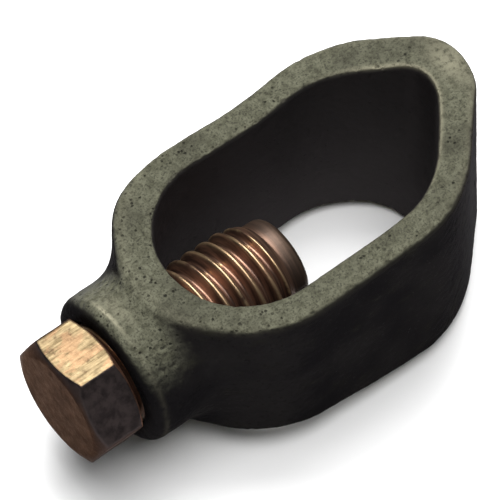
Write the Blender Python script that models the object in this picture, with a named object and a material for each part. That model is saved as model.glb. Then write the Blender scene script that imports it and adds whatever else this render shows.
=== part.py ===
"""Ground rod clamp: a cast bronze loop with a round threaded boss and one hex head screw.

The screw lies along X with its head at -X. The rod seat is the V at the +X end of the loop.
Z runs through the loop, and the loop is mirrored about the plane of the screw's axis. Metres.
"""
import math

import bmesh
import bpy
from mathutils import Matrix

for old in list(bpy.data.objects):
    bpy.data.objects.remove(old, do_unlink=True)

# Loop of the casting. The wall follows two outlines made of the same run of arcs and lines.
HEEL_X = -0.00285       # centre of the round end that carries the boss
HEEL_R_OUT = 0.0140
HEEL_R_IN = 0.01024
APEX_X_OUT = 0.0295     # outer tip of the V end
APEX_X_IN = 0.0244      # bottom of the rod seat
APEX_R_OUT = 0.0062
APEX_R_IN = 0.0035
VEE_OUT = math.radians(46.0)    # direction of the V's normal, from the X axis
VEE_IN = math.radians(45.0)
SHOULDER_R_OUT = 0.0160         # bend between flank and V
SHOULDER_R_IN = 0.0120
HALF_H = 0.0111         # half the loop's height at x = 0
FLARE = 0.085           # how fast each face climbs towards the rod seat
EDGE_OUT = 0.0009       # bevel of the outer rims
EDGE_IN = 0.0005        # bevel of the opening's rims
AXIS_Z = HALF_H + FLARE * (APEX_X_OUT - EDGE_OUT)   # height of the screw's axis

# Round boss
BOSS_END_X = -0.02285
BOSS_ROOT_X = -0.0140
BOSS_R = 0.00925
BOSS_ROOT_R = 0.0082
BOSS_RIM = 0.0012

# Screw: 1/2-13 UNC, 9/16 in across flats, 1 in long
PITCH = 0.0254 / 13
MAJOR_R = 0.00630
MINOR_R = 0.00515
ACROSS_FLATS = 0.0142875
HEAD_H = 0.00635
HEAD_GAP = 0.0003
SEAT_X = BOSS_END_X - HEAD_GAP
HEAD_X = SEAT_X - HEAD_H
TIP_X = SEAT_X + 0.0254
POINT_L = 0.0022        # plain turned end
POINT_GAP = 0.0003
POINT_R = 0.0053        # smaller than the tapped hole, so that the screw backs right out
POINT_TIP_R = 0.0042
HEX_TURN = math.radians(56.0)
CREST_X = -0.0055       # where a thread crest crosses the +Y side

# Tapped hole: the same thread, moved outwards
TAP_CLEAR = 0.00030
TAP_MAJOR_R = MAJOR_R + TAP_CLEAR
TAP_MINOR_R = POINT_R + TAP_CLEAR

THREAD_SEG = 32
ROUND_SEG = 64


def material(name, colour, metallic, roughness):
    mat = bpy.data.materials.new(name)
    mat.use_nodes = True
    shader = mat.node_tree.nodes["Principled BSDF"]
    shader.inputs["Base Color"].default_value = (*colour, 1.0)
    shader.inputs["Metallic"].default_value = metallic
    shader.inputs["Roughness"].default_value = roughness
    return mat


def add_object(name, bm, mat=None, cutter=False):
    bmesh.ops.recalc_face_normals(bm, faces=bm.faces)
    mesh = bpy.data.meshes.new(name)
    bm.to_mesh(mesh)
    bm.free()
    obj = bpy.data.objects.new(name, mesh)
    bpy.context.scene.collection.objects.link(obj)
    if mat:
        mesh.materials.append(mat)
    if cutter:
        obj.hide_render = True
        obj.display_type = 'WIRE'
    return obj


def boolean(obj, other, operation):
    mod = obj.modifiers.new(other.name, 'BOOLEAN')
    mod.object = other
    mod.operation = operation
    mod.solver = 'EXACT'


def arc(cx, cy, radius, start, end, count):
    """Points on an arc, with the outward normal at each."""
    points = []
    for i in range(count + 1):
        a = start + (end - start) * i / count
        points.append((cx + radius * math.cos(a), cy + radius * math.sin(a), math.cos(a), math.sin(a)))
    return points


def outline(heel_r, apex_x, apex_r, vee, shoulder_r):
    """Closed outline from the apex over the +Y side to the heel and back."""
    apex_cx = apex_x - apex_r
    # The V's line is tangent to the apex arc. The shoulder arc is tangent to it and to the flank.
    reach = (apex_cx * math.cos(vee) + apex_r - heel_r * math.sin(vee)) / math.cos(vee)
    bend = shoulder_r * math.tan((math.pi / 2 - vee) / 2)
    side = arc(apex_cx, 0.0, apex_r, 0.0, vee, 6)
    side += arc(reach - bend, heel_r - shoulder_r, shoulder_r, vee, math.pi / 2, 6)
    side += arc(HEEL_X, 0.0, heel_r, math.pi / 2, math.pi, 14)
    mirrored = [(x, -y, nx, -ny) for x, y, nx, ny in side[-2:0:-1]]
    return side + mirrored


def half_height(x):
    return HALF_H + FLARE * x


def loop_body():
    """Closed wall between the two outlines, bevelled along its four rims."""
    outer = outline(HEEL_R_OUT, APEX_X_OUT, APEX_R_OUT, VEE_OUT, SHOULDER_R_OUT)
    inner = outline(HEEL_R_IN, APEX_X_IN, APEX_R_IN, VEE_IN, SHOULDER_R_IN)
    bm = bmesh.new()
    sections = []
    for (ox, oy, onx, ony), (ix, iy, inx, iny) in zip(outer, inner):
        ring = []
        for x, y, nx, ny, bevel in ((ox, oy, -onx, -ony, EDGE_OUT), (ix, iy, inx, iny, EDGE_IN)):
            on_wall = (x, y, half_height(x) - bevel)
            on_face_x = x + nx * bevel
            on_face = (on_face_x, y + ny * bevel, half_height(on_face_x))
            ring.append((on_wall, on_face) if bevel == EDGE_OUT else (on_face, on_wall))
        top = [p for pair in ring for p in pair]
        bottom = [(x, y, -z) for x, y, z in reversed(top)]
        sections.append([bm.verts.new((x, y, z + AXIS_Z)) for x, y, z in top + bottom])
    count = len(sections)
    for i in range(count):
        here = sections[i]
        there = sections[(i + 1) % count]
        for j in range(8):
            k = (j + 1) % 8
            bm.faces.new((here[j], there[j], there[k], here[k]))
    return bm


def turned(profile, segments):
    """Solid of revolution about the screw's axis from (x, radius) pairs."""
    bm = bmesh.new()
    rings = []
    for x, radius in profile:
        ring = []
        for i in range(segments):
            a = 2 * math.pi * i / segments
            ring.append(bm.verts.new((x, radius * math.cos(a), AXIS_Z + radius * math.sin(a))))
        rings.append(ring)
    for low, high in zip(rings, rings[1:]):
        for i in range(segments):
            k = (i + 1) % segments
            bm.faces.new((low[i], low[k], high[k], high[i]))
    bm.faces.new(rings[0])
    bm.faces.new(rings[-1])
    return bm


def threaded_rod(start_x, end_x, major, minor, crest, root, end_r):
    """Right-hand threaded rod, turned down to end_r at its far end.

    crest and root are the flats' widths as a share of the pitch.
    """
    flank = (1.0 - crest - root) / 2
    profile = [(-crest / 2, major), (crest / 2, major), (crest / 2 + flank, minor),
               (crest / 2 + flank + root, minor)]
    first = math.floor((start_x - CREST_X) / PITCH) - 2
    last = math.ceil((end_x - CREST_X) / PITCH) + 2
    columns = (last - first) * THREAD_SEG
    bm = bmesh.new()
    grid = []
    for j in range(columns + 1):
        a = 2 * math.pi * j / THREAD_SEG
        column = []
        for share, radius in profile:
            x = CREST_X + PITCH * (first + j / THREAD_SEG + share)
            r = min(radius, max(minor, end_r + end_x - x))
            column.append(bm.verts.new((x, r * math.cos(a), AXIS_Z + r * math.sin(a))))
        grid.append(column)
    for j in range(columns):
        for i in range(3):
            bm.faces.new((grid[j][i], grid[j + 1][i], grid[j + 1][i + 1], grid[j][i + 1]))
        if j + 1 + THREAD_SEG <= columns:
            bm.faces.new((grid[j][3], grid[j + 1][3], grid[j + 1 + THREAD_SEG][0], grid[j + THREAD_SEG][0]))
    for x, side in ((start_x, -1), (end_x, 1)):
        bmesh.ops.bisect_plane(bm, geom=bm.verts[:] + bm.edges[:] + bm.faces[:], dist=1e-7,
                               plane_co=(x, 0, AXIS_Z), plane_no=(side, 0, 0), clear_outer=True)
        rim = [e for e in bm.edges if e.is_boundary and all(abs(v.co.x - x) < 1e-6 for v in e.verts)]
        bmesh.ops.edgeloop_fill(bm, edges=rim)
    return bm


def hex_prism(start_x, end_x, across, turn):
    bm = bmesh.new()
    ends = []
    for x in (start_x, end_x):
        radius = across / math.sqrt(3)
        angles = [turn + math.pi / 3 * i for i in range(6)]
        ends.append([bm.verts.new((x, radius * math.cos(a), AXIS_Z + radius * math.sin(a))) for a in angles])
    for i in range(6):
        k = (i + 1) % 6
        bm.faces.new((ends[0][i], ends[0][k], ends[1][k], ends[1][i]))
    bm.faces.new(ends[0])
    bm.faces.new(ends[1])
    return bm


def set_origin(obj, x):
    """Put the object's origin on the screw's axis."""
    obj.data.transform(Matrix.Translation((-x, 0, -AXIS_Z)))
    obj.location = (x, 0, AXIS_Z)


bronze = material("cast_bronze", (0.20, 0.19, 0.14), 0.75, 0.55)
screw_bronze = material("screw_bronze", (0.62, 0.36, 0.20), 0.95, 0.32)

# Casting: loop and boss in one, then the tapped hole
body = add_object("clamp_body", loop_body(), bronze)
boss_profile = [(BOSS_END_X, BOSS_R - BOSS_RIM),
                (BOSS_END_X + 0.3 * BOSS_RIM, BOSS_R - 0.3 * BOSS_RIM),
                (BOSS_END_X + BOSS_RIM, BOSS_R),
                (BOSS_END_X + 0.0045, BOSS_R),
                (BOSS_ROOT_X, BOSS_ROOT_R)]
boss = add_object("cut_boss", turned(boss_profile, ROUND_SEG), cutter=True)
tap = threaded_rod(BOSS_END_X - 0.001, HEEL_X - 0.004, TAP_MAJOR_R, TAP_MINOR_R, 0.20, 0.20, TAP_MAJOR_R)
tap = add_object("cut_tap", tap, cutter=True)
boolean(body, boss, 'UNION')
boolean(body, tap, 'DIFFERENCE')

# Screw: hexagon turned down at both ends, with the thread behind it
head_r = ACROSS_FLATS / math.sqrt(3)
face_r = 0.47 * ACROSS_FLATS
chamfer = (head_r - face_r) * math.tan(math.radians(30.0))
screw = add_object("clamp_screw", hex_prism(HEAD_X, SEAT_X, ACROSS_FLATS, HEX_TURN), screw_bronze)
head_profile = [(HEAD_X, face_r),
                (HEAD_X + chamfer, head_r + 0.0001),
                (SEAT_X - chamfer, head_r + 0.0001),
                (SEAT_X, face_r)]
turning = add_object("cut_head", turned(head_profile, ROUND_SEG), cutter=True)
point_x = TIP_X - POINT_L
shank = threaded_rod(SEAT_X - 0.001, point_x - POINT_GAP, MAJOR_R, MINOR_R, 0.14, 0.18, POINT_R)
shank = add_object("cut_shank", shank, cutter=True)
boolean(screw, turning, 'INTERSECT')
boolean(screw, shank, 'UNION')

point_profile = [(point_x, POINT_R),
                 (TIP_X - 0.0009, POINT_R - 0.00005),
                 (TIP_X - 0.0003, POINT_R - 0.0004),
                 (TIP_X, POINT_TIP_R)]
point = add_object("screw_point", turned(point_profile, ROUND_SEG), screw_bronze)

set_origin(screw, SEAT_X)
set_origin(point, SEAT_X)
for cutter in (turning, shank):
    set_origin(cutter, SEAT_X)
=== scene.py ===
"""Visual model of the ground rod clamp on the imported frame.

Shapes are built in millimetres, with X along the screw, and scaled to metres as they become objects.
The casting is a signed distance, meshed by surface_net, so that every rim and neck is one soft skin.
"""

import math

import bmesh
import bpy
import numpy as np
from mathutils import Matrix, Vector, kdtree, noise


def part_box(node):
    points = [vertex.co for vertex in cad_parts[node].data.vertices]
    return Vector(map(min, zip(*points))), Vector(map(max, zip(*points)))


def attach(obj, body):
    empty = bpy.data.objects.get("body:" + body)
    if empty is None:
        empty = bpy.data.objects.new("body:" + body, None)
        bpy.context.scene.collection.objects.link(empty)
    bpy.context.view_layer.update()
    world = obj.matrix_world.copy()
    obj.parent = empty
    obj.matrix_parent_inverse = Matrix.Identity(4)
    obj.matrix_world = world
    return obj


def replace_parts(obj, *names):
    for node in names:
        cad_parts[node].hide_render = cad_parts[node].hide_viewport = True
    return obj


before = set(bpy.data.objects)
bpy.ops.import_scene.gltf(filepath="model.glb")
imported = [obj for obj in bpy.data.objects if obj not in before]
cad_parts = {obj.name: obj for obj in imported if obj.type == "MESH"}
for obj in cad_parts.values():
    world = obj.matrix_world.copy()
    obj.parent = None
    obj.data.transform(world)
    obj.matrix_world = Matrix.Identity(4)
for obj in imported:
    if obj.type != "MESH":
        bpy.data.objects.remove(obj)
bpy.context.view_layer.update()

MM = 0.001
TAU = 2 * math.pi


def box_mm(node):
    return [[value / MM for value in corner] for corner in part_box(node)]


body_low, body_high = box_mm("clamp_body")
point_low, point_high = box_mm("screw_point")

# Screw: parallel to X at height AXIS_Z, 1/2-13 thread, 9/16 inch hexagon
AXIS_Z = (point_low[2] + point_high[2]) / 2
HEAD_X = box_mm("clamp_screw")[0][0]
TIP_X = point_high[0]
BOSS_END_X = body_low[0]
HEAD_GAP = 0.3
SEAT_X = BOSS_END_X - HEAD_GAP  # underside of the head
POINT_R = 5.25
MAJOR_R = 6.30
MINOR_R = 5.15
PITCH = 25.4 / 13
CREST_X = -5.5                  # a crest passes here on the +Y side
TAP_CLEAR = 0.30
ACROSS_FLATS = 14.2875
HEX_TURN = math.radians(56)

# Loop of the casting, as in the CAD
APEX_X_OUT = body_high[0]
HEEL_X = -2.85
HEEL_R_OUT = body_high[1]
HEEL_R_IN = 10.24
APEX_X_IN = 24.4
APEX_R_OUT, APEX_R_IN = 6.2, 3.5
SHOULDER_R_OUT, SHOULDER_R_IN = 16.0, 12.0
VEE_OUT, VEE_IN = math.radians(46), math.radians(45)
FLARE = 0.085                   # rise of each face for each millimetre towards the V end
HALF_H = AXIS_Z - FLARE * (APEX_X_OUT - 0.9)
BOSS_R = 9.25

# Sand casting: edge radii, and how far the loop strays from true
LOWER_APEX_R = 9.0              # the seat's corner is fuller at its lower end
RIM_R = 1.0
LOWER_RIM_R = 1.3
MOUTH_R = 0.8
NECK_R = 3.2
STRAY_FLANK = -0.60
STRAY_APEX = 0.75
STRAY_TIP = 0.55
V_BULGE = 0.95              # extra lean of the V end's +Y flank
REACH = 0.50                # how much fuller the V end is at its tip
DRAFT = 0.55                # how far the V end's outer wall leans out towards its lower edge
HEEL_SWELL = 1.0            # the heel is fuller on the +Y side
SKIN_STEP = 0.23


# ---------------------------------------------------------------- meshes

def smoothstep(a, b, x):
    t = np.clip((x - a) / (b - a), 0.0, 1.0)
    return t * t * (3 - 2 * t)


def to_object(name, bm):
    """Object in metres from a bmesh in millimetres, smooth shaded."""
    bmesh.ops.recalc_face_normals(bm, faces=bm.faces)
    bmesh.ops.scale(bm, vec=(MM, MM, MM), verts=bm.verts)
    mesh = bpy.data.meshes.new(name)
    bm.to_mesh(mesh)
    bm.free()
    mesh.shade_smooth()
    obj = bpy.data.objects.new(name, mesh)
    bpy.context.scene.collection.objects.link(obj)
    return obj


# ---------------------------------------------------------------- casting

def arc(cx, cy, radius, start, end, count):
    a = np.linspace(start, end, count)
    return np.stack((cx + radius * np.cos(a), cy + radius * np.sin(a)), 1)


def outline(heel_r, apex_x, apex_r, vee, shoulder_r):
    """Closed outline from the apex over the +Y side to the heel and back."""
    apex_cx = apex_x - apex_r
    reach = (apex_cx * math.cos(vee) + apex_r - heel_r * math.sin(vee)) / math.cos(vee)
    bend = shoulder_r * math.tan((math.pi / 2 - vee) / 2)
    side = np.concatenate((arc(apex_cx, 0.0, apex_r, 0.0, vee, 14),
                           arc(reach - bend, heel_r - shoulder_r, shoulder_r, vee, math.pi / 2, 18),
                           arc(HEEL_X, 0.0, heel_r, math.pi / 2, math.pi, 40)))
    return np.concatenate((side, side[-2:0:-1] * (1, -1)))


class PlanDistance:
    """Signed distance to a closed outline in plan, kept on a grid. Negative inside."""
    STEP = 0.1

    def __init__(self, points):
        self.low = points.min(0) - 4.0
        count = np.ceil((points.max(0) + 4.0 - self.low) / self.STEP).astype(int)
        x = self.low[0] + self.STEP * np.arange(count[0])[:, None]
        y = self.low[1] + self.STEP * np.arange(count[1])[None, :]
        nearest = np.full(count, 1e9)
        inside = np.zeros(count, bool)
        for (ax, ay), (bx, by) in zip(points, np.roll(points, -1, 0)):
            length = (bx - ax) ** 2 + (by - ay) ** 2
            t = np.clip(((x - ax) * (bx - ax) + (y - ay) * (by - ay)) / length, 0, 1)
            nearest = np.minimum(nearest, (x - ax - t * (bx - ax)) ** 2 + (y - ay - t * (by - ay)) ** 2)
            if ay != by:
                inside ^= ((ay > y) != (by > y)) & (x < ax + (y - ay) * (bx - ax) / (by - ay))
        self.grid = np.where(inside, -1, 1) * np.sqrt(nearest)

    def __call__(self, x, y):
        u = np.clip((x - self.low[0]) / self.STEP, 0, self.grid.shape[0] - 1.001)
        v = np.clip((y - self.low[1]) / self.STEP, 0, self.grid.shape[1] - 1.001)
        i, j = u.astype(int), v.astype(int)
        u, v = u - i, v - j
        g = self.grid
        return ((g[i, j] * (1 - u) + g[i + 1, j] * u) * (1 - v)
                + (g[i, j + 1] * (1 - u) + g[i + 1, j + 1] * u) * v)


def round_max(a, b, radius):
    """Intersection of two solids with a rounded edge."""
    k = radius / 0.85
    h = np.maximum(k - np.abs(a - b), 0) / k
    return np.maximum(a, b) + h * h * k / 4


def round_min(a, b, radius):
    """Union of two solids with a fillet between them."""
    return -round_max(-a, -b, radius)


# lower_plan has the same flats as inner_plan, so its rounder corner ends sooner
LOWER_APEX_X = APEX_X_IN - (LOWER_APEX_R - APEX_R_IN) * (math.sqrt(2) - 1)
outer_plan = PlanDistance(outline(HEEL_R_OUT, APEX_X_OUT, APEX_R_OUT, VEE_OUT, SHOULDER_R_OUT))
inner_plan = PlanDistance(outline(HEEL_R_IN, APEX_X_IN, APEX_R_IN, VEE_IN, SHOULDER_R_IN))
lower_plan = PlanDistance(outline(HEEL_R_IN, LOWER_APEX_X, LOWER_APEX_R, VEE_IN, SHOULDER_R_IN))


def stray(x, y, z):
    """Sideways lean of the loop: flanks one way, V end the other and more so on its +Y side."""
    lean = STRAY_APEX * smoothstep(12, 26, x) + STRAY_TIP * smoothstep(20, 29, x)
    bulge = V_BULGE * smoothstep(17, 23.5, x) * smoothstep(-4, 3, y)
    return lean + bulge * (0.3 + 0.7 * smoothstep(-12, 6, z)) + STRAY_FLANK * np.exp(-((x - 7) / 8) ** 2)


def casting_distance(p):
    """Distance to the casting's skin at points given from the screw's axis. Negative in metal."""
    x, y, z = p.T
    across = y - stray(x, y, z)
    pinch = 0.20 * np.exp(-((x - 6) / 6) ** 2)
    swell = HEEL_SWELL * np.exp(-((x + 12.5) / 5) ** 2) * smoothstep(2, 6, y)
    face = np.abs(z) - HALF_H - FLARE * x
    drafted = x - REACH * smoothstep(20, 28, x) + DRAFT * z / AXIS_Z * smoothstep(12, 26, x)
    wall = outer_plan(drafted, across) + pinch - swell
    loop = round_max(wall, face, np.where(z > 0, RIM_R, LOWER_RIM_R))
    radius = np.hypot(y, z)
    spread = BOSS_R - 0.5 * smoothstep(-19.0, -14.0, x)
    boss = np.maximum(round_max(radius - spread, BOSS_END_X - x, 1.5), x + 12.5)
    solid = round_min(loop, boss, NECK_R)
    low = smoothstep(5, -9, z)
    opening = (1 - low) * inner_plan(x, across) + low * lower_plan(x, across)
    solid = round_max(solid, -opening - pinch, MOUTH_R)
    bore = np.maximum(radius - MAJOR_R - TAP_CLEAR, x + 6)
    return round_max(solid, -bore, 0.4)


def surface_net(distance, low, high, step):
    """Quad mesh of the zero surface: one point in each grid cell that the surface crosses."""
    axes = [np.arange(a, b, step) for a, b in zip(low, high)]
    shape = tuple(len(axis) for axis in axes)
    inside = np.empty(shape, bool)
    for i, x in enumerate(axes[0]):
        y, z = np.meshgrid(axes[1], axes[2], indexing="ij")
        slab = np.stack((np.full(y.size, x), y.ravel(), z.ravel()), 1)
        inside[i] = (distance(slab) < 0).reshape(y.shape)
    nx, ny, nz = (count - 1 for count in shape)
    corners = sum(inside[i:nx + i, j:ny + j, k:nz + k].astype(np.int8)
                  for i in (0, 1) for j in (0, 1) for k in (0, 1))
    cells = np.argwhere((corners > 0) & (corners < 8))
    number = np.full(corners.shape, -1)
    number[tuple(cells.T)] = np.arange(len(cells))
    points = np.array(low) + step * (cells + 0.5)
    quads = []
    for a in range(3):
        b, c = (a + 1) % 3, (a + 2) % 3
        near = np.take(inside, range(shape[a] - 1), a)
        far = np.take(inside, range(1, shape[a]), a)
        for leaving in (True, False):
            at = np.argwhere((near != far) & (near == leaving))
            ring = []
            for back_b, back_c in ((1, 1), (0, 1), (0, 0), (1, 0)):
                cell = at.copy()
                cell[:, b] -= back_b
                cell[:, c] -= back_c
                ring.append(number[tuple(cell.T)])
            quads.append(np.stack(ring if leaving else ring[::-1], 1))
    return points, np.concatenate(quads)


def gradient(distance, points):
    eps = 0.02
    steps = np.eye(3) * eps
    return np.stack([distance(points + s) - distance(points - s) for s in steps], 1) / (2 * eps)


def settle(distance, points, quads):
    """Even the net out and draw it on to the surface. Returns points and outward normals."""
    ends = np.concatenate([quads[:, [i, (i + 1) % 4]] for i in range(4)])
    ends = np.concatenate((ends, ends[:, ::-1]))
    share = np.bincount(ends[:, 0], minlength=len(points))[:, None]
    for _ in range(5):
        pulled = np.stack([np.bincount(ends[:, 0], points[ends[:, 1], k], len(points))
                           for k in range(3)], 1)
        points = 0.45 * points + 0.55 * pulled / share
        for _ in range(2):
            slope = gradient(distance, points)
            steep = np.maximum((slope ** 2).sum(1), 0.3)[:, None]
            points = points - distance(points)[:, None] * slope / steep
    slope = gradient(distance, points)
    return points, slope / np.linalg.norm(slope, axis=1)[:, None]


def sand_texture(points, normals):
    """Shift along the normal from uneven mould walls and grain, more on the faces than on the walls."""
    shift = np.empty(len(points))
    for i, point in enumerate(points):
        p = Vector(point)
        shift[i] = (0.08 * noise.noise(p / 6.0) + 0.045 * noise.noise(p / 1.9)
                    + 0.055 * noise.noise(p / 0.65) - 0.05)
    rough = 0.15 + 0.85 * smoothstep(0.5, 0.9, np.abs(normals[:, 2]))
    shift *= 0.5 + 0.5 * rough
    tree = kdtree.KDTree(len(points))
    for i, point in enumerate(points):
        tree.insert(point, i)
    tree.balance()
    chance = np.random.default_rng(11)
    for seat in chance.choice(len(points), 1500, p=rough ** 2 / (rough ** 2).sum()):
        width = chance.uniform(0.16, 0.30)
        depth = width * chance.uniform(0.25, 0.55)
        for _, i, away in tree.find_range(points[seat], 2.2 * width):
            shift[i] -= depth * math.exp(-(away / width) ** 2)
    return shift


def pale_wear_and_highlight(points, normals):
    """Pale marks: rims, most of all at the V end, partly polish from handling and partly painted highlight;
    two high spots on up-facing skin and a band round the boss end, painted highlight and painted light.
    """
    x, y, z = points.T
    across = y - stray(x, y, z)
    face = np.abs(z) - HALF_H - FLARE * x
    v_end = smoothstep(13, 23, x)
    inner = 2.0 * np.exp(-(face ** 2 + inner_plan(x, across) ** 2) / 0.36 ** 2) * (0.08 + 0.92 * v_end)
    outer = np.exp(-(face ** 2 + outer_plan(x, across) ** 2) / 0.8 ** 2) * (0.12 + 0.2 * v_end)
    # Painted highlights: the spots below appear only on up-facing skin, where the light from above falls
    top = smoothstep(0.35, 0.9, normals[:, 2])
    corner = 0.5 * np.exp(-((x - 27.4) / 1.6) ** 2 - ((y - 1.5) / 3.2) ** 2)
    # Painted light: a faint pale band all round the boss end, lifting it from the shade
    rim = 0.10 * np.exp(-((x - BOSS_END_X - 1.4) / 0.30) ** 2)
    boss_edge_highlight = np.exp(-((x - BOSS_END_X - 1.5) / 0.2) ** 2 - ((y - 1.0) / 2.4) ** 2)
    boss_highlight_spot = 0.3 * np.exp(-((x - BOSS_END_X - 2.6) / 1.2) ** 2 - ((y - 1.5) / 3.0) ** 2)
    return np.clip(np.maximum(inner, outer) + rim + top * (corner + boss_edge_highlight + boss_highlight_spot), 0, 1)


def casting():
    low = (BOSS_END_X - 1.0, -HEEL_R_OUT - 1.6, -AXIS_Z - 1.0)
    high = (APEX_X_OUT + REACH + DRAFT + 0.6, HEEL_R_OUT + 1.6, AXIS_Z + 1.0)
    points, quads = surface_net(casting_distance, low, high, SKIN_STEP)
    points, normals = settle(casting_distance, points, quads)
    skin = points + normals * sand_texture(points, normals)[:, None]
    mesh = bpy.data.meshes.new("cast_body")
    mesh.from_pydata((skin + (0, 0, AXIS_Z)) * MM, [], quads)
    mesh.shade_smooth()
    x, y, z = points.T
    marks = {"pale_wear_and_highlight": pale_wear_and_highlight(points, normals),
             "pitted": smoothstep(-2, -12, x),
             # inside marks the loop's inner walls for painted light
             "inside": smoothstep(0.9, 0.3, inner_plan(x, y - stray(x, y, z)))}
    for name, value in marks.items():
        mesh.attributes.new(name, 'FLOAT', 'POINT').data.foreach_set("value", value)
    obj = bpy.data.objects.new("cast_body", mesh)
    bpy.context.scene.collection.objects.link(obj)
    return obj


# ---------------------------------------------------------------- threads

def helix(start_x, end_x, profile, segments, radius_at):
    """Open helical skin between two planes. profile is (share of the pitch, radius)."""
    first = math.floor((start_x - CREST_X) / PITCH) - 1
    turns = math.ceil((end_x - CREST_X) / PITCH) + 1 - first
    bm = bmesh.new()
    grid = []
    for j in range(turns * segments + 1):
        a = TAU * j / segments
        column = []
        for share, radius in profile:
            x = CREST_X + PITCH * (first + j / segments + share)
            r = radius_at(x, radius)
            column.append(bm.verts.new((x, r * math.cos(a), AXIS_Z + r * math.sin(a))))
        grid.append(column)
    for j in range(turns * segments):
        for i in range(len(profile) - 1):
            bm.faces.new((grid[j][i], grid[j + 1][i], grid[j + 1][i + 1], grid[j][i + 1]))
        if j + 1 + segments <= turns * segments:
            bm.faces.new((grid[j][-1], grid[j + 1][-1], grid[j + 1 + segments][0], grid[j + segments][0]))
    for x, side in ((start_x, -1), (end_x, 1)):
        bmesh.ops.bisect_plane(bm, geom=bm.verts[:] + bm.edges[:] + bm.faces[:], dist=1e-5,
                               plane_co=(x, 0, AXIS_Z), plane_no=(side, 0, 0), clear_outer=True)
    return bm


def thread_profile(major, minor, count):
    """One pitch of a 60 degree thread with worn crests, from crest to crest."""
    out = []
    for i in range(count):
        share = i / count
        away = min(share, 1 - share)
        worn = float(smoothstep(0.045, 0.43, away))
        flank = min(1.0, max(0.0, (away - 0.06) / 0.36))
        out.append((share, major - (major - minor) * (0.45 * worn + 0.55 * flank)))
    return out


def screw_shank():
    """Thread, run-out and plain turned end in one closed skin, from under the head to the tip."""
    run_out = TIP_X - 2.2

    def radius_at(x, radius):
        r = min(radius, POINT_R + max(0.0, run_out - x) * 0.42)
        r = r + 0.02 * noise.noise(Vector((x, r * 0.4, 3.0)))
        blend = float(smoothstep(run_out - 0.9, run_out + 0.1, x))
        return r + (POINT_R - r) * blend

    bm = helix(SEAT_X - 0.05, run_out + 0.15, thread_profile(MAJOR_R, MINOR_R, 16), 96, radius_at)
    edges = [e for e in bm.edges if e.is_boundary and all(v.co.x > run_out for v in e.verts)]
    # The rim is drawn out over the domed end, then closed
    for back, r in ((1.3, POINT_R), (0.85, 5.20), (0.5, 5.05), (0.25, 4.78), (0.10, 4.4), (0.03, 3.9),
                    (0.0, 2.2)):
        made = bmesh.ops.extrude_edge_only(bm, edges=edges)["geom"]
        edges = [g for g in made if isinstance(g, bmesh.types.BMEdge) and g.is_boundary]
        for v in {v for e in edges for v in e.verts}:
            a = math.atan2(v.co.z - AXIS_Z, v.co.y)
            v.co = (TIP_X - back, r * math.cos(a), AXIS_Z + r * math.sin(a))
    bmesh.ops.edgeloop_fill(bm, edges=edges)
    bmesh.ops.edgeloop_fill(bm, edges=[e for e in bm.edges if e.is_boundary])
    return bm


def hex_head():
    """Hexagon turned down at both ends, built from rings of rays so that every edge is soft."""
    corner = ACROSS_FLATS / math.sqrt(3) - 0.10
    face_r = 0.47 * ACROSS_FLATS
    segments = 288
    edge = 0.14
    height = SEAT_X - HEAD_X
    shares = [0, .004, .012, .03, .06, .09, .12, .15, .18, .25, .35, .5]
    shares += [1 - share for share in shares[-2::-1]]
    bm = bmesh.new()
    rings = []
    for share in shares:
        x = HEAD_X + height * share
        near = height * min(share, 1 - share)
        cone = face_r + near / math.tan(math.radians(30)) - 0.35 * math.exp(-near / 0.12)
        ring = []
        for i in range(segments):
            a = TAU * i / segments
            flat = ACROSS_FLATS / 2 / math.cos((a - HEX_TURN) % (math.pi / 3) - math.pi / 6)
            prism = min(flat, corner)
            h = max(edge - abs(prism - cone), 0.0) / edge
            r = min(prism, cone) - h * h * edge / 4
            # Forged flats are a little hollow and nicked
            r -= 0.05 * noise.noise(Vector((x / 2.2, 2.4 * math.cos(a), 2.4 * math.sin(a)))) + 0.03
            ring.append(bm.verts.new((x, r * math.cos(a), AXIS_Z + r * math.sin(a))))
        rings.append(ring)
    skins = list(zip(rings, rings[1:]))
    for end in (rings[0], rings[-1]):
        outer = end
        for share in (0.985, 0.93, 0.6, 0.25):
            inner = [bm.verts.new((v.co.x, v.co.y * share, AXIS_Z + (v.co.z - AXIS_Z) * share))
                     for v in end]
            skins.append((outer, inner))
            outer = inner
        bm.faces.new(outer)
    for low, high in skins:
        for i in range(segments):
            k = (i + 1) % segments
            bm.faces.new((low[i], low[k], high[k], high[i]))
    return bm


def bore_thread():
    """The tapped hole's thread, a sleeve sunk into the casting. Its crests lie in the screw's roots."""
    count = 12
    radii = [MAJOR_R + TAP_CLEAR - (r - MINOR_R) * 0.95 for _, r in thread_profile(MAJOR_R, MINOR_R, count)]
    profile = [(i / count, radii[(i + count // 2) % count]) for i in range(count)]
    return helix(BOSS_END_X + 0.4, HEEL_X - HEEL_R_IN + 0.9, profile, 72, lambda x, r: r)


# ---------------------------------------------------------------- materials

# Linear colours of the casting
WALL_DARK, WALL_LIGHT = (0.0085, 0.0078, 0.0086), (0.0150, 0.0138, 0.0138)
WALL_SCUFF = (0.020, 0.0195, 0.0150)
WALL_SPECK = (0.024, 0.023, 0.021)
WALL_INSIDE = (0.055, 0.050, 0.050)
OLIVE_DARK, OLIVE_LIGHT = (0.056, 0.0560, 0.0375), (0.104, 0.1045, 0.0730)
FACE_GRAIN = (0.014, 0.013, 0.010)
FACE_STAIN = (0.023, 0.022, 0.016)
PIT_SHADE = (0.006, 0.006, 0.005)
PALE_WEAR_AND_HIGHLIGHT = (0.270, 0.255, 0.180)

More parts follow.
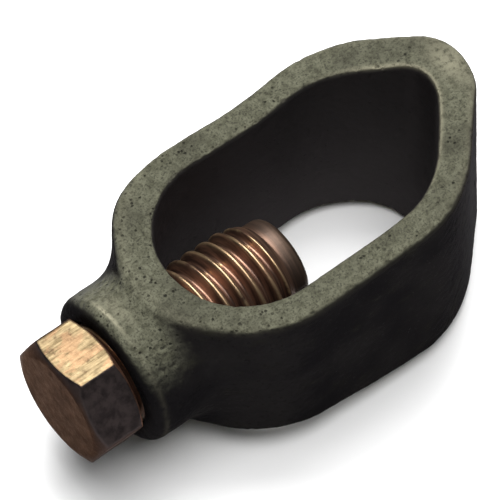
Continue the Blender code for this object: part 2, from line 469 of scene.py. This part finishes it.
# Linear colours of the screw
GOLD_DARK, GOLD_LIGHT = (0.115, 0.083, 0.043), (0.250, 0.190, 0.108)
GOLD_RED = (0.25, 0.145, 0.080)
GOLD_STAIN = (0.06, 0.03, 0.018)
OXIDE_DARK, OXIDE_LIGHT = (0.028, 0.0225, 0.0225), (0.047, 0.037, 0.036)
END_DARK, END_LIGHT = (0.0145, 0.0105, 0.0100), (0.029, 0.019, 0.0155)
UNDER_COPPER = (0.20, 0.105, 0.070)
THREAD_DARK, THREAD_LIGHT = (0.085, 0.050, 0.038), (0.235, 0.130, 0.085)
THREAD_STAIN = (0.060, 0.040, 0.036)
CREST_WEAR_AND_HIGHLIGHT = (0.72, 0.52, 0.28)
PLAIN_END = (0.062, 0.044, 0.034)


def new_material(name):
    mat = bpy.data.materials.new(name)
    mat.use_nodes = True
    tree = mat.node_tree
    return mat, tree, tree.nodes["Principled BSDF"]


def place(tree, scale=(1, 1, 1)):
    """Object coordinates, stretched."""
    coords = tree.nodes.new("ShaderNodeTexCoord")
    mapping = tree.nodes.new("ShaderNodeMapping")
    mapping.inputs["Scale"].default_value = scale
    tree.links.new(coords.outputs["Object"], mapping.inputs["Vector"])
    return mapping.outputs[0]


def noise_tex(tree, where, scale, detail=4.0, rough=0.5, distortion=0.0):
    node = tree.nodes.new("ShaderNodeTexNoise")
    settings = {"Scale": scale, "Detail": detail, "Roughness": rough, "Distortion": distortion}
    for key, value in settings.items():
        node.inputs[key].default_value = value
    tree.links.new(where, node.inputs["Vector"])
    return node.outputs["Fac"]


def ramp(tree, value, low, high, to_low=0.0, to_high=1.0):
    node = tree.nodes.new("ShaderNodeMapRange")
    node.interpolation_type = 'SMOOTHSTEP'
    settings = {"From Min": low, "From Max": high, "To Min": to_low, "To Max": to_high}
    for key, number in settings.items():
        node.inputs[key].default_value = number
    tree.links.new(value, node.inputs["Value"])
    return node.outputs["Result"]


def calc(tree, operation, a, b=0.0):
    node = tree.nodes.new("ShaderNodeMath")
    node.operation = operation
    for socket, value in zip(node.inputs, (a, b)):
        if isinstance(value, (int, float)):
            socket.default_value = value
        else:
            tree.links.new(value, socket)
    return node.outputs[0]


def mix(tree, factor, a, b):
    node = tree.nodes.new("ShaderNodeMix")
    node.data_type = 'RGBA'
    for socket, value in ((node.inputs[0], factor), (node.inputs[6], a), (node.inputs[7], b)):
        if isinstance(value, tuple):
            socket.default_value = (*value, 1.0)
        elif isinstance(value, (int, float)):
            socket.default_value = value
        else:
            tree.links.new(value, socket)
    return node.outputs[2]


def relief(tree, height, strength, distance, below=None):
    node = tree.nodes.new("ShaderNodeBump")
    node.inputs["Strength"].default_value = strength
    node.inputs["Distance"].default_value = distance
    tree.links.new(height, node.inputs["Height"])
    if below:
        tree.links.new(below, node.inputs["Normal"])
    return node.outputs["Normal"]


def facing(tree):
    """Components of the surface's own direction, without the bump."""
    coords = tree.nodes.new("ShaderNodeTexCoord")
    split = tree.nodes.new("ShaderNodeSeparateXYZ")
    tree.links.new(coords.outputs["Normal"], split.inputs[0])
    return split.outputs


def painted(tree, name):
    """A mark that the mesh carries on its points."""
    node = tree.nodes.new("ShaderNodeAttribute")
    node.attribute_name = name
    return node.outputs["Fac"]


def blow_holes(tree, where, flat):
    """Small pits, close together in some places and absent in others."""
    bend = tree.nodes.new("ShaderNodeTexNoise")
    bend.inputs["Scale"].default_value = 1500
    tree.links.new(where, bend.inputs["Vector"])
    drift = tree.nodes.new("ShaderNodeVectorMath")
    drift.operation = 'SCALE'
    drift.inputs["Scale"].default_value = 0.3 * MM
    tree.links.new(bend.outputs["Color"], drift.inputs[0])
    swirl = tree.nodes.new("ShaderNodeVectorMath")
    swirl.operation = 'ADD'
    tree.links.new(where, swirl.inputs[0])
    tree.links.new(drift.outputs[0], swirl.inputs[1])
    cells = tree.nodes.new("ShaderNodeTexVoronoi")
    cells.inputs["Scale"].default_value = 1250
    tree.links.new(swirl.outputs[0], cells.inputs["Vector"])
    hole = ramp(tree, cells.outputs["Distance"], 0.26, 0.12)
    more = calc(tree, 'MULTIPLY', painted(tree, "pitted"), 0.09)
    crowd = calc(tree, 'ADD', noise_tex(tree, where, 240, 3, 0.6), more)
    hole = calc(tree, 'MULTIPLY', hole, ramp(tree, crowd, 0.47, 0.60))
    return calc(tree, 'MULTIPLY', hole, ramp(tree, flat, 0.1, 0.7, 0.25, 1.0))


def cast_patina():
    """Olive faces with pits and pale rims, and walls that are nearly black: the walls partly patina and
    partly painted shade, the pits painted shade, the rims partly wear and partly painted highlight, and the
    inner walls lifted with painted light.
    """
    mat, tree, shader = new_material("cast_bronze_patina")
    where = place(tree)
    flat = ramp(tree, calc(tree, 'ABSOLUTE', facing(tree)["Z"]), 0.35, 0.93)
    big = noise_tex(tree, where, 130, 4, 0.6)
    mid = noise_tex(tree, where, 1050, 6, 0.68)
    fine = noise_tex(tree, where, 4000, 4, 0.65)
    scuff = noise_tex(tree, place(tree, (0.5, 0.5, 1.4)), 420, 6, 0.7, 0.4)
    wall = mix(tree, ramp(tree, big, 0.35, 0.65), WALL_DARK, WALL_LIGHT)
    wall = mix(tree, ramp(tree, scuff, 0.54, 0.70, 0.0, 0.6), wall, WALL_SCUFF)
    wall = mix(tree, ramp(tree, fine, 0.56, 0.70, 0.0, 0.5), wall, WALL_SPECK)
    # Painted light: the loop's inner walls are painted lighter, standing in for light they hardly get
    inside = calc(tree, 'MULTIPLY', painted(tree, "inside"), ramp(tree, mid, 0.30, 0.70, 0.75, 1.0))
    wall = mix(tree, inside, wall, WALL_INSIDE)
    face = mix(tree, ramp(tree, mid, 0.34, 0.66), OLIVE_DARK, OLIVE_LIGHT)
    face = mix(tree, ramp(tree, fine, 0.52, 0.36, 0.0, 0.65), face, FACE_GRAIN)
    face = mix(tree, ramp(tree, big, 0.46, 0.66, 0.0, 0.5), face, FACE_STAIN)
    hole = blow_holes(tree, where, flat)
    wear_and_highlight_mask = calc(tree, 'MULTIPLY', painted(tree, "pale_wear_and_highlight"), ramp(tree, mid, 0.30, 0.52, 0.0, 0.85))
    # Painted shade: by facing, the walls get near-black colour and the flat faces olive, partly patina and
    # partly painted shade of sides turned from the light above; on the round boss this paints a gradient
    # from a lit top to a dark side
    colour = mix(tree, flat, wall, face)
    # Painted shade: the pits are darkened as well as bumped
    colour = mix(tree, calc(tree, 'MULTIPLY', hole, 0.85), colour, PIT_SHADE)
    # Pale marks, partly wear and partly painted highlight
    colour = mix(tree, wear_and_highlight_mask, colour, PALE_WEAR_AND_HIGHLIGHT)
    tree.links.new(colour, shader.inputs["Base Color"])
    tree.links.new(ramp(tree, flat, 0.0, 0.8, 0.85, 0.08), shader.inputs["Metallic"])
    shader.inputs["Specular Tint"].default_value = (0.35, 0.33, 0.35, 1.0)
    shader.inputs["Specular IOR Level"].default_value = 0.10
    dull = calc(tree, 'ADD', ramp(tree, mid, 0.3, 0.7, 0.50, 0.62), ramp(tree, flat, 0.0, 0.8, 0.16, 0.0))
    tree.links.new(dull, shader.inputs["Roughness"])
    on_face = ramp(tree, flat, 0.0, 1.0, 0.30, 1.0)
    normal = relief(tree, calc(tree, 'MULTIPLY', mid, on_face), 0.75, 0.20 * MM)
    normal = relief(tree, calc(tree, 'MULTIPLY', fine, on_face), 0.65, 0.09 * MM, normal)
    normal = relief(tree, calc(tree, 'SUBTRACT', 1.0, hole), 0.7, 0.16 * MM, normal)
    tree.links.new(normal, shader.inputs["Normal"])
    return mat


def head_metal():
    """Brushed bronze: the flat on top painted bright gold as a painted reflection of the light above, dark
    brown oxide on the other flats and the end.
    """
    mat, tree, shader = new_material("brushed_bronze")
    streak = noise_tex(tree, place(tree, (0.07, 1, 1)), 3400, 6, 0.7)
    smear = noise_tex(tree, place(tree, (0.4, 1, 1)), 420, 5, 0.65, 0.8)
    mottle = noise_tex(tree, place(tree), 900, 5, 0.65)
    way = facing(tree)
    # Painted highlight: the flat facing up is painted bright gold, standing in for the reflection of the
    # light above
    bright = ramp(tree, calc(tree, 'ADD', way["Z"], calc(tree, 'MULTIPLY', mottle, 0.10)), 0.90, 0.99)
    on_end = ramp(tree, way["X"], -0.75, -0.98)
    under = ramp(tree, way["X"], 0.25, 0.45)
    gold = mix(tree, ramp(tree, streak, 0.32, 0.66), GOLD_DARK, GOLD_LIGHT)
    gold = mix(tree, ramp(tree, smear, 0.47, 0.60, 0.0, 0.6), gold, GOLD_RED)
    gold = mix(tree, ramp(tree, mottle, 0.58, 0.68, 0.0, 0.5), gold, GOLD_STAIN)
    brown = mix(tree, ramp(tree, mottle, 0.35, 0.65), OXIDE_DARK, OXIDE_LIGHT)
    brown = mix(tree, on_end, brown, END_DARK)
    rubbed_end = calc(tree, 'MULTIPLY', on_end, ramp(tree, smear, 0.42, 0.60, 0.0, 0.8))
    brown = mix(tree, rubbed_end, brown, END_LIGHT)
    brown = mix(tree, under, brown, UNDER_COPPER)
    tree.links.new(mix(tree, bright, brown, gold), shader.inputs["Base Color"])
    shader.inputs["Metallic"].default_value = 0.95
    shader.inputs["Specular Tint"].default_value = (0.60, 0.50, 0.45, 1.0)
    shader.inputs["Specular IOR Level"].default_value = 0.25
    tree.links.new(ramp(tree, mottle, 0.3, 0.7, 0.40, 0.58), shader.inputs["Roughness"])
    normal = relief(tree, streak, 0.30, 0.05 * MM)
    tree.links.new(relief(tree, mottle, 0.40, 0.12 * MM, normal), shader.inputs["Normal"])
    return mat


def thread_metal():
    """Purplish brown oxide, copper on the crests, partly worn metal and partly painted highlight, grey
    brown on the plain end.
    """
    mat, tree, shader = new_material("thread_bronze")
    turned = noise_tex(tree, place(tree, (6, 0.25, 0.25)), 700, 5, 0.6)
    stain = noise_tex(tree, place(tree), 330, 5, 0.62, 0.5)
    geometry = tree.nodes.new("ShaderNodeNewGeometry")
    crest = calc(tree, 'MULTIPLY', ramp(tree, geometry.outputs["Pointiness"], 0.50, 0.60),
                 ramp(tree, stain, 0.34, 0.56, 0.0, 0.9))
    split = tree.nodes.new("ShaderNodeSeparateXYZ")
    tree.links.new(place(tree), split.inputs[0])
    plain = ramp(tree, split.outputs["X"], (TIP_X - 3.6) * MM, (TIP_X - 1.6) * MM)
    colour = mix(tree, ramp(tree, turned, 0.35, 0.65), THREAD_DARK, THREAD_LIGHT)
    # Crests painted pale gold, partly worn metal and partly painted highlight
    colour = mix(tree, crest, colour, CREST_WEAR_AND_HIGHLIGHT)
    colour = mix(tree, ramp(tree, stain, 0.55, 0.70, 0.0, 0.5), colour, THREAD_STAIN)
    colour = mix(tree, calc(tree, 'MULTIPLY', plain, 0.85), colour, PLAIN_END)
    tree.links.new(colour, shader.inputs["Base Color"])
    shader.inputs["Metallic"].default_value = 0.85
    rough = calc(tree, 'ADD', ramp(tree, turned, 0.3, 0.7, 0.30, 0.40), calc(tree, 'MULTIPLY', plain, 0.14))
    tree.links.new(rough, shader.inputs["Roughness"])
    tree.links.new(relief(tree, turned, 0.3, 0.06 * MM), shader.inputs["Normal"])
    return mat


# ---------------------------------------------------------------- pieces

def finish_piece(obj, mat, body):
    obj.data.materials.append(mat)
    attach(obj, body)
    return obj


thread_bronze = thread_metal()
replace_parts(finish_piece(casting(), cast_patina(), "body"), "clamp_body")
finish_piece(to_object("tapped_thread", bore_thread()), thread_bronze, "body")
shank = finish_piece(to_object("screw_thread", screw_shank()), thread_bronze, "screw")
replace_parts(shank, "clamp_screw", "screw_point")
finish_piece(to_object("screw_head", hex_head()), head_metal(), "screw")

# ---------------------------------------------------------------- stage

YAW, PITCH_UP, ROLL = math.radians(-127.6), math.radians(55.0), math.radians(1.43)
DISTANCE = 474.2                # camera to the middle of the clamp
AIM = Vector((12.15, 0, AXIS_Z))
AIM_RIGHT, AIM_UP = -11.43, -4.51   # where the picture's centre lies from AIM

back = Vector((math.cos(YAW) * math.cos(PITCH_UP), math.sin(YAW) * math.cos(PITCH_UP), math.sin(PITCH_UP)))
flat_right = Vector((-math.sin(YAW), math.cos(YAW), 0))
flat_up = back.cross(flat_right)
right = flat_right * math.cos(ROLL) - flat_up * math.sin(ROLL)
up = flat_right * math.sin(ROLL) + flat_up * math.cos(ROLL)
spot = AIM + back * DISTANCE + right * AIM_RIGHT + up * AIM_UP
lens = bpy.data.cameras.new("camera")
lens.sensor_width = 36
lens.lens = 302.5
lens.clip_start = 0.01
camera = bpy.data.objects.new("camera", lens)
camera.matrix_world = Matrix.Translation(spot * MM) @ Matrix((right, up, back)).transposed().to_4x4()
bpy.context.scene.collection.objects.link(camera)
bpy.context.scene.camera = camera

FLOOR_HALF = 1.5                # metres
corners = [(x * FLOOR_HALF, y * FLOOR_HALF, 0) for x, y in ((-1, -1), (1, -1), (1, 1), (-1, 1))]
floor_mesh = bpy.data.meshes.new("floor")
floor_mesh.from_pydata(corners, [], [(0, 1, 2, 3)])
floor = bpy.data.objects.new("floor", floor_mesh)
bpy.context.scene.collection.objects.link(floor)
floor_mat, _, floor_shader = new_material("floor_white")
floor_shader.inputs["Base Color"].default_value = (0.88, 0.88, 0.88, 1)
floor_shader.inputs["Roughness"].default_value = 0.9
floor_shader.inputs["Specular IOR Level"].default_value = 0.1
floor_mesh.materials.append(floor_mat)

# Sky: bright overhead, dim at the horizon
world = bpy.data.worlds.new("studio")
bpy.context.scene.world = world
world.use_nodes = True
sky = world.node_tree
sky_way = sky.nodes.new("ShaderNodeTexCoord")
sky_split = sky.nodes.new("ShaderNodeSeparateXYZ")
sky.links.new(sky_way.outputs["Generated"], sky_split.inputs[0])
brightness = ramp(sky, sky_split.outputs["Z"], 0.15, 0.9, 0.22, 1.15)
sky.links.new(brightness, sky.nodes["Background"].inputs["Strength"])


def area_light(name, azimuth, elevation, distance, size, power):
    """Azimuth from +X towards +Y. Aimed at the clamp's middle."""
    light = bpy.data.lights.new(name, 'AREA')
    light.size = size
    light.energy = power
    obj = bpy.data.objects.new(name, light)
    a, e = math.radians(azimuth), math.radians(elevation)
    away = Vector((math.cos(a) * math.cos(e), math.sin(a) * math.cos(e), math.sin(e)))
    obj.location = away * distance + Vector((0, 0, AXIS_Z * MM))
    obj.rotation_euler = away.to_track_quat('Z', 'Y').to_euler()
    bpy.context.scene.collection.objects.link(obj)


area_light("key", 60, 66, 0.6, 0.34, 5.5)
area_light("fill", -100, 78, 0.8, 0.6, 7.0)
bpy.context.scene.view_settings.view_transform = 'Standard'
